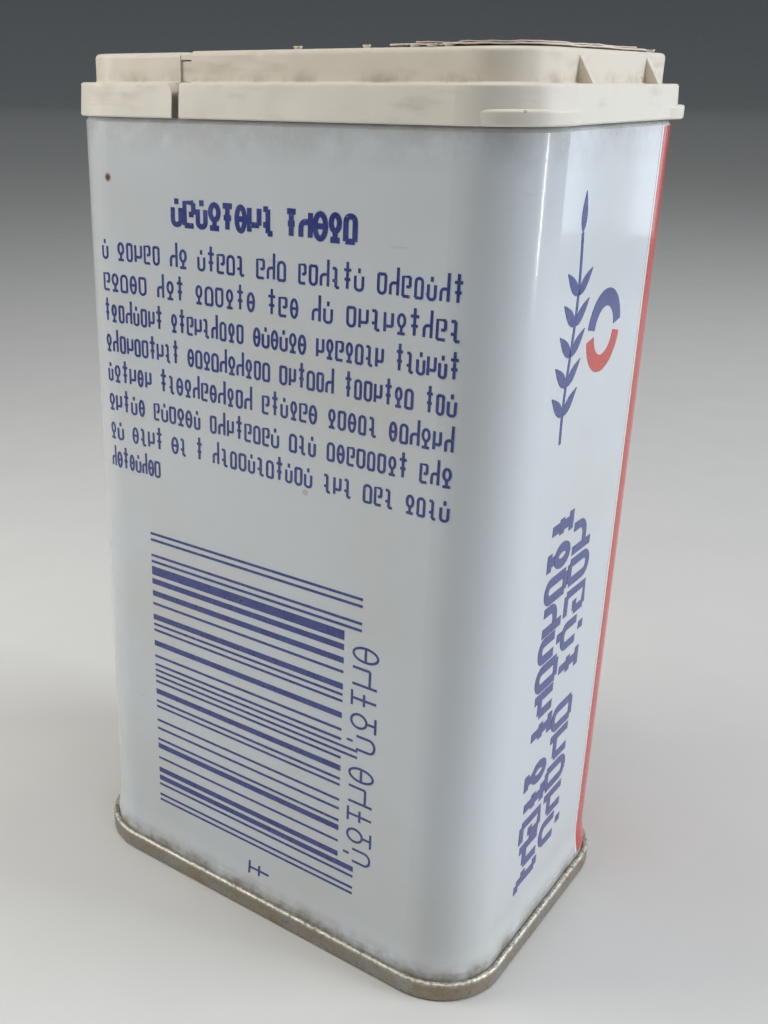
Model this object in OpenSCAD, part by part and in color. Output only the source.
// Oblong spice tin with a hinged plastic cap.
//
// Frame: millimetres, +Z up, origin at the centre of the foot. The wide panels
// face -Y and +Y, the narrow panels face -X and +X. The cap's fixed third is at
// the -X end, and its lid swings up about a living hinge that runs along Y.
//
// Every rim, seam and wall is a section swept round the body's outline. A section
// is drawn in (u, z): u is the distance outwards from the body's outside face.

/* [Can body] */
// Width of the body, across its narrow panels
body_w = 60; // [50:1:76]
// Depth of the body, across its wide panels
body_d = 41.5; // [34:0.5:56]
// Outside radius of the body's upright corners
corner_r = 7.8; // [6.5:0.1:12]
// Height of the cap's step above the foot
step_z = 103.5; // [70:0.5:140]
// Thickness of the body's tinplate
wall_t = 0.25; // [0.2:0.01:0.32]
// How far the neck stands in from the body under the cap's skirt
neck_in = 0.5; // [0.4:0.05:0.8]
// Outside diameter of the curl round the rim
curl_d = 1.3; // [1.1:0.05:1.6]
// Height over which the wall flares out, above the bottom panel
flare_h = 4; // [3:0.5:10]

/* [Side seam] */
// Width of the folded lock seam down the hidden narrow panel
lock_w = 3.6; // [2.5:0.1:5]
// How far the fold stands out of the body's outside face
lock_out = 0.12; // [0.05:0.01:0.25]
// How far the fold stands into the can
lock_in = 0.5; // [0.3:0.05:0.8]
// Leg of the solder fillet along the fold, inside the can
solder_w = 0.5; // [0.3:0.1:0.8]

/* [Bottom end] */
// Thickness of the bottom end's tinplate
end_t = 0.22; // [0.18:0.01:0.26]
// Height of the double seam
seam_h = 2.6; // [2.4:0.1:3.4]
// How far the double seam stands out of the body
seam_proud = 1.25; // [1.15:0.05:1.5]
// Height of the bottom panel above the foot
countersink = 3.4; // [3:0.1:5]
// Height of the stiffening step in the bottom panel
bead_h = 0.5; // [0.3:0.1:1]
// Thickness of the sealing compound in the seam
compound_t = 0.12; // [0.08:0.01:0.2]
// Clearance between the folded layers of the seam
fold_gap = 0.03; // [0.02:0.01:0.05]

/* [Cap] */
// Height of the cap's upper tier above the step
tier_h = 3; // [2:0.1:6]
// Height of the skirt below the step
skirt_h = 3.6; // [3.2:0.1:6]
// How far the skirt's top edge stands out of the body
skirt_out = 0.35; // [0.3:0.05:0.8]
// Outward draft of the skirt from its top to its bottom edge
skirt_draft = 0.2; // [0:0.05:0.3]
// How far the upper tier stands in from the body
tier_in = 1.45; // [1.2:0.05:2]
// Wall of the upper tier
tier_t = 0.95; // [0.7:0.05:1.2]
// Thickness of the top and of the step
deck_t = 0.9; // [0.7:0.05:1.2]
// Wall of the plug that stands inside the rim
plug_t = 0.7; // [0.5:0.05:1]
// Depth of the plug below the step
plug_h = 3.3; // [2.8:0.1:5]
// Clearance between the lid's skirt and the neck
skirt_clear = 0.12; // [0.1:0.01:0.2]
// Clearance between the plug and the curl
plug_clear = 0.3; // [0.25:0.05:0.5]
// Clearance above the rim, under the step
rim_clear = 0.1; // [0.05:0.01:0.2]
// Radius along the upper tier's top edge
tier_edge_r = 0.5; // [0.3:0.05:0.7]
// Radius along the step's outer edge
step_edge_r = 0.3; // [0.2:0.05:0.4]
// How far the lid's top stands above the fixed third's
lid_rise = 0.1; // [0:0.05:0.2]

/* [Hinge] */
// Distance of the hinge line from the -X face of the body
hinge_from_end = 18.8; // [14:0.2:28]
// Length of the thin web, along X
web_l = 1.6; // [1.2:0.1:2.4]
// Thickness of the web
web_t = 0.3; // [0.2:0.05:0.4]
// Depth of the web's upper face below the top
web_drop = 0.2; // [0.1:0.05:0.3]
// Width of the slit through the skirt
slit_w = 0.95; // [0.6:0.05:1.4]
// Radius of the fixed skirt's corner at the slit
slit_fixed_r = 1.5; // [0.5:0.1:2]
// Radius of the lid skirt's corner at the slit
slit_lid_r = 0.4; // [0.2:0.1:0.8]
// Clearance between the fixed tongues and the lid
tongue_clear = 0.08; // [0.05:0.01:0.15]
// How far the tongues stand back from the tier's outside face
tongue_back = 0.2; // [0.1:0.05:0.4]

/* [Lifting features] */
// Distance of each gusset from the middle of the +X side
gusset_y = 8.8; // [4:0.2:10]
// Thickness of a gusset
gusset_t = 0.8; // [0.6:0.1:1.2]
// Height of the thumb ledges
ledge_h = 1.45; // [1:0.05:2.4]
// Radius of a thumb ledge in plan
ledge_r = 6.6; // [5:0.1:9]
// How far a thumb ledge stands out of the skirt
ledge_out = 0.75; // [0.4:0.05:1]
// Direction of the thumb ledges from the X axis
ledge_angle = 32; // [20:1:45]

/* [Hidden] */
$fn = 96;

// Straight lengths of the outline
flat_x = body_w - 2 * corner_r;
flat_y = body_d - 2 * corner_r;

// Levels of the cap and the rim
top_z = step_z + tier_h;
skirt_z = step_z - skirt_h;
step_under = step_z - deck_t;
top_under = top_z - deck_t;
plug_z = step_z - plug_h;
rim_z = step_under - rim_clear;
neck_z = skirt_z - 0.1;
neck_h = 0.5;

// Offsets of the cap's walls from the body's outside face
skirt_top_u = skirt_out;
skirt_foot_u = skirt_out + skirt_draft;
neck_u = -neck_in;
lid_skirt_u = neck_u + skirt_clear;
curl_in_u = neck_u - curl_d;
tier_u = -tier_in;
tier_in_u = tier_u - tier_t;
plug_u = curl_in_u - plug_clear;
plug_in_u = plug_u - plug_t;
deck_u = plug_in_u - 1.2;

// Layers of the double seam, from the body wall outwards
flare_out = seam_proud - wall_t - 2 * end_t - 3 * fold_gap;
body_mid_u = flare_out - wall_t / 2;
end_hook_u = flare_out + fold_gap + end_t / 2;
body_hook_u = end_hook_u + end_t / 2 + fold_gap + wall_t / 2;
end_wall_u = seam_proud - end_t / 2;
chuck_u = body_mid_u - wall_t / 2 - fold_gap - end_t / 2;
fold_r = (body_hook_u - body_mid_u) / 2;
hook_z = end_t + compound_t + wall_t / 2 + fold_r;
cover_r = (end_wall_u - end_hook_u) / 2;
cover_z = seam_h - end_t / 2 - cover_r;
foot_r = 0.3;
bead_u = -5.5;

// The body stands straight past the seam and the bottom panel, then draws in
flare_z = max(seam_h, countersink + end_t / 2) + fold_gap;
wall_z = flare_z + flare_h;

// Stations of the hinge and the slit along X
hinge_x = -body_w / 2 + hinge_from_end;
web_x0 = hinge_x - web_l / 2;
web_x1 = hinge_x + web_l / 2;
slit_x0 = hinge_x - slit_w / 2;
slit_x1 = hinge_x + slit_w / 2;
far = body_w + body_d + step_z;
bond = 0.3;

// Points of an arc about c, from angle a0 to a1
function arc(c, r, a0, a1, n = 5) =
  [for (i = [0:n]) let (a = a0 + (a1 - a0) * i / n) c + r * [cos(a), sin(a)]];

// Unit normal on the left of the step from p to q
function left(p, q) = let (d = (q - p) / norm(q - p)) [-d[1], d[0]];

// Corner i of a path, moved sideways by s along its mitre
function mitre(path, i, s) =
  let (
    last = len(path) - 1,
    a = left(path[max(i - 1, 0)], path[max(i, 1)]),
    b = left(path[min(i, last - 1)], path[min(i + 1, last)])
  ) path[i] + s * (a + b) / (1 + a * b);

// Closed outline of a sheet of thickness t that follows a path
function sheet(path, t) =
  let (last = len(path) - 1)
  concat(
    [for (i = [0:last]) mitre(path, i, t / 2)],
    [for (i = [last:-1:0]) mitre(path, i, -t / 2)]
  );

// Plan of the body's outline, moved outwards by u
module outline(u = 0) {
  r = corner_r + u;
  square([body_w + 2 * u, flat_y], center = true);
  square([flat_x, body_d + 2 * u], center = true);
  for (sx = [-1, 1], sy = [-1, 1])
    translate([sx * flat_x / 2, sy * flat_y / 2]) circle(r = r);
}

// A section swept once round the body's outline
module around(section) {
  for (k = [0:3]) {
    half = k % 2 == 0 ? body_w / 2 : body_d / 2;
    run = k % 2 == 0 ? flat_y : flat_x;
    rotate([0, 0, 90 * k]) translate([half, 0, 0]) rotate([90, 0, 0])
      linear_extrude(run, center = true) polygon(section);
    cx = (k == 0 || k == 3 ? 1 : -1) * flat_x / 2;
    cy = (k < 2 ? 1 : -1) * flat_y / 2;
    translate([cx, cy, 0]) rotate([0, 0, 90 * k])
      rotate_extrude(angle = 90) translate([corner_r, 0]) polygon(section);
  }
}

// A flat plate with the body's outline moved by u, between two heights
module plate(u, z0, z1) {
  translate([0, 0, z0]) linear_extrude(z1 - z0) outline(u);
}

// A shape drawn in (x, z), cut through the whole depth of the tin
module through_y() {
  rotate([90, 0, 0]) linear_extrude(2 * far, center = true) children();
}

// Mid-line of the body sheet, from the tip of its bottom hook to the end of its curl
function body_path() =
  let (curl_r = (curl_d - wall_t) / 2, n = 6)
  concat(
    [[body_hook_u, cover_z - 0.1]],
    arc([(body_hook_u + body_mid_u) / 2, hook_z], fold_r, 0, -180),
    [for (i = [0:n]) let (s = i / n)
      [-wall_t / 2 + flare_out * pow(1 - s, 2), flare_z + flare_h * s]],
    [[-wall_t / 2, neck_z - neck_h]],
    [[neck_u - wall_t / 2, neck_z]],
    arc([neck_u - wall_t / 2 - curl_r, rim_z - curl_d / 2], curl_r, 0, 250, 9)
  );

// Mid-line of the bottom end's sheet, from its panel to the tip of its hook
function end_path() =
  let (low = end_t / 2)
  concat(
    [[bead_u - 0.6, countersink + bead_h], [bead_u, countersink + bead_h]],
    [[bead_u + bead_h, countersink]],
    arc([chuck_u - foot_r, countersink - foot_r], foot_r, 90, 0, 3),
    arc([chuck_u + foot_r, low + foot_r], foot_r, 180, 270, 3),
    arc([end_wall_u - foot_r, low + foot_r], foot_r, 270, 360, 3),
    arc([(end_wall_u + end_hook_u) / 2, cover_z], cover_r, 0, 180),
    [[end_hook_u, hook_z + 0.1]]
  );

// The rolled and printed sheet: hook, flare, wall, neck, curl and lock seam
module can_body() {
  color("whitesmoke") {
    around(sheet(body_path(), wall_t));
    translate([-body_w / 2 - lock_out, -lock_w / 2, wall_z])
      cube([lock_out + wall_t + lock_in, lock_w, neck_z - neck_h - wall_z]);
  }
}

// Fillet of solder along one edge of the lock seam, inside the can
module side_seam_solder() {
  leg = min(solder_w, lock_in);
  color("silver")
    translate([-body_w / 2 + wall_t, lock_w / 2, wall_z])
      linear_extrude(neck_z - neck_h - wall_z) difference() {
        square(leg);
        translate([leg, leg]) circle(r = leg);
      }
}

// The pressed bottom, with its countersunk panel and the seam that it folds
module bottom_end() {
  color("dimgray") {
    around(sheet(end_path(), end_t));
    mid = countersink + bead_h;
    plate(bead_u - 0.6, mid - end_t / 2, mid + end_t / 2);
  }
}

// Sealing compound, between the seam's foot and the body's hook
module seam_compound() {
  color("darkslategray") around([
    [body_mid_u + 0.05, end_t], [body_hook_u - 0.05, end_t],
    [body_hook_u - 0.05, end_t + compound_t], [body_mid_u + 0.05, end_t + compound_t]
  ]);
}

// Section of the step, skirt and plug; skirt_u is the skirt's inside face
function lower_section(skirt_u) =
  let (ease = 0.15)
  concat(
    [[plug_in_u, step_z]],
    arc([skirt_top_u - step_edge_r, step_z - step_edge_r], step_edge_r, 90, 0, 4),
    [[skirt_foot_u, skirt_z + ease], [skirt_foot_u - ease, skirt_z]],
    [[skirt_u + ease, skirt_z], [skirt_u, skirt_z + ease]],
    [[skirt_u, step_under - 2 * ease], [skirt_u - 2 * ease, step_under]],
    [[plug_u, step_under], [plug_u, plug_z + 2 * ease]],
    [[plug_u - 2 * ease, plug_z], [plug_in_u, plug_z]]
  );

// Section of the upper tier's wall and the edge of its top
function upper_section(rise) =
  let (ease = 0.15, top = top_z + rise)
  concat(
    [[deck_u, top]],
    arc([tier_u - tier_edge_r, top - tier_edge_r], tier_edge_r, 90, 0, 5),
    [[tier_u, step_z + ease], [tier_u + ease, step_z]],
    [[tier_u + ease, step_z - bond], [tier_in_u, step_z - bond]],
    [[tier_in_u, top_under - 2 * ease], [tier_in_u - 2 * ease, top_under], [deck_u, top_under]]
  );

// The upper tier, with its top
module upper_tier(rise = 0) {
  around(upper_section(rise));
  plate(deck_u, top_under, top_z + rise);
}

// Everything on the fixed side of an (x, z) corner, its top right corner rounded
module fixed_side(x, z, r) {
  through_y() {
    translate([x - far, z - far]) square([far, far - r]);
    translate([x - far, z - far]) square([far - r, far]);
    translate([x - r, z - r]) circle(r = r);
  }
}

// Everything on the lid's side of an (x, z) corner, its top left corner rounded
module lid_side(x, z, r) {
  mirror([1, 0, 0]) fixed_side(-x, z, r);
}

// One of the tongues that close the gap under the hinge, behind the tier's wall
module tongue() {
  v = body_d / 2 + tier_u - tongue_back;
  t = tier_t - tongue_back;
  x0 = web_x0 - bond;
  translate([x0, v - t, step_under])
    cube([slit_x1 - tongue_clear - x0, t, deck_t]);
  translate([x0, v - t, step_z])
    cube([web_x1 - tongue_clear - x0, t, top_under - step_z]);
}

// Fixed third of the cap: it grips the rim at the -X end
module cap_base() {
  color("ivory") {
    intersection() {
      around(lower_section(neck_u));
      union() {
        fixed_side(slit_x0, step_z, slit_fixed_r);
        intersection() {
          fixed_side(slit_x0, step_z + bond, bond / 2);
          plate(tier_u, plug_z - bond, step_z + bond);
        }
      }
    }
    intersection() {
      upper_tier();
      translate([web_x0 - far, -far / 2, 0]) cube(far);
    }
    tongue();
    mirror([0, 1, 0]) tongue();
  }
}

// Thin web of the living hinge, across the top
module living_hinge() {
  half = body_d / 2 + tier_u - tier_edge_r;
  color("linen")
    translate([web_x0, -half, top_z - web_drop - web_t])
      cube([web_l - tongue_clear, 2 * half, web_t]);
}

// Gusset between the tier's wall and the step, on the +X side
module gusset(y) {
  x0 = body_w / 2 + tier_u;
  x1 = body_w / 2 + skirt_top_u - step_edge_r / 2;
  translate([0, y + gusset_t / 2, 0]) rotate([90, 0, 0]) linear_extrude(gusset_t)
    polygon([
      [x0 - bond, step_z - bond], [x1 - bond, step_z - bond], [x1, step_z - step_edge_r / 2],
      [x0, top_z - tier_edge_r], [x0 - bond, top_z - tier_edge_r]
    ]);
}

// Crescent ledge for a thumb, round the lower half of a skirt corner
module thumb_ledge(side) {
  ease = 0.3;
  reach = corner_r + skirt_foot_u + ledge_out - ledge_r;
  difference() {
    translate([flat_x / 2, side * flat_y / 2, skirt_z])
      rotate([0, 0, side * ledge_angle]) translate([reach, 0, 0])
        rotate_extrude() polygon(concat(
          [[0, 0], [ledge_r - ease / 2, 0], [ledge_r, ease / 2]],
          arc([ledge_r - ease, ledge_h - ease], ease, 0, 90, 4),
          [[0, ledge_h]]
        ));
    plate(0, skirt_z - 1, skirt_z + ledge_h + 1);
  }
}

// Moving two thirds of the cap
module flip_lid() {
  color("ivory") {
    intersection() {
      around(lower_section(lid_skirt_u));
      lid_side(slit_x1, step_z, slit_lid_r);
    }
    intersection() {
      upper_tier(lid_rise);
      translate([web_x1, -far / 2, 0]) cube(far);
    }
    for (side = [-1, 1]) {
      gusset(side * gusset_y);
      thumb_ledge(side);
    }
  }
}

can_body();
side_seam_solder();
bottom_end();
seam_compound();
cap_base();
living_hinge();
flip_lid();
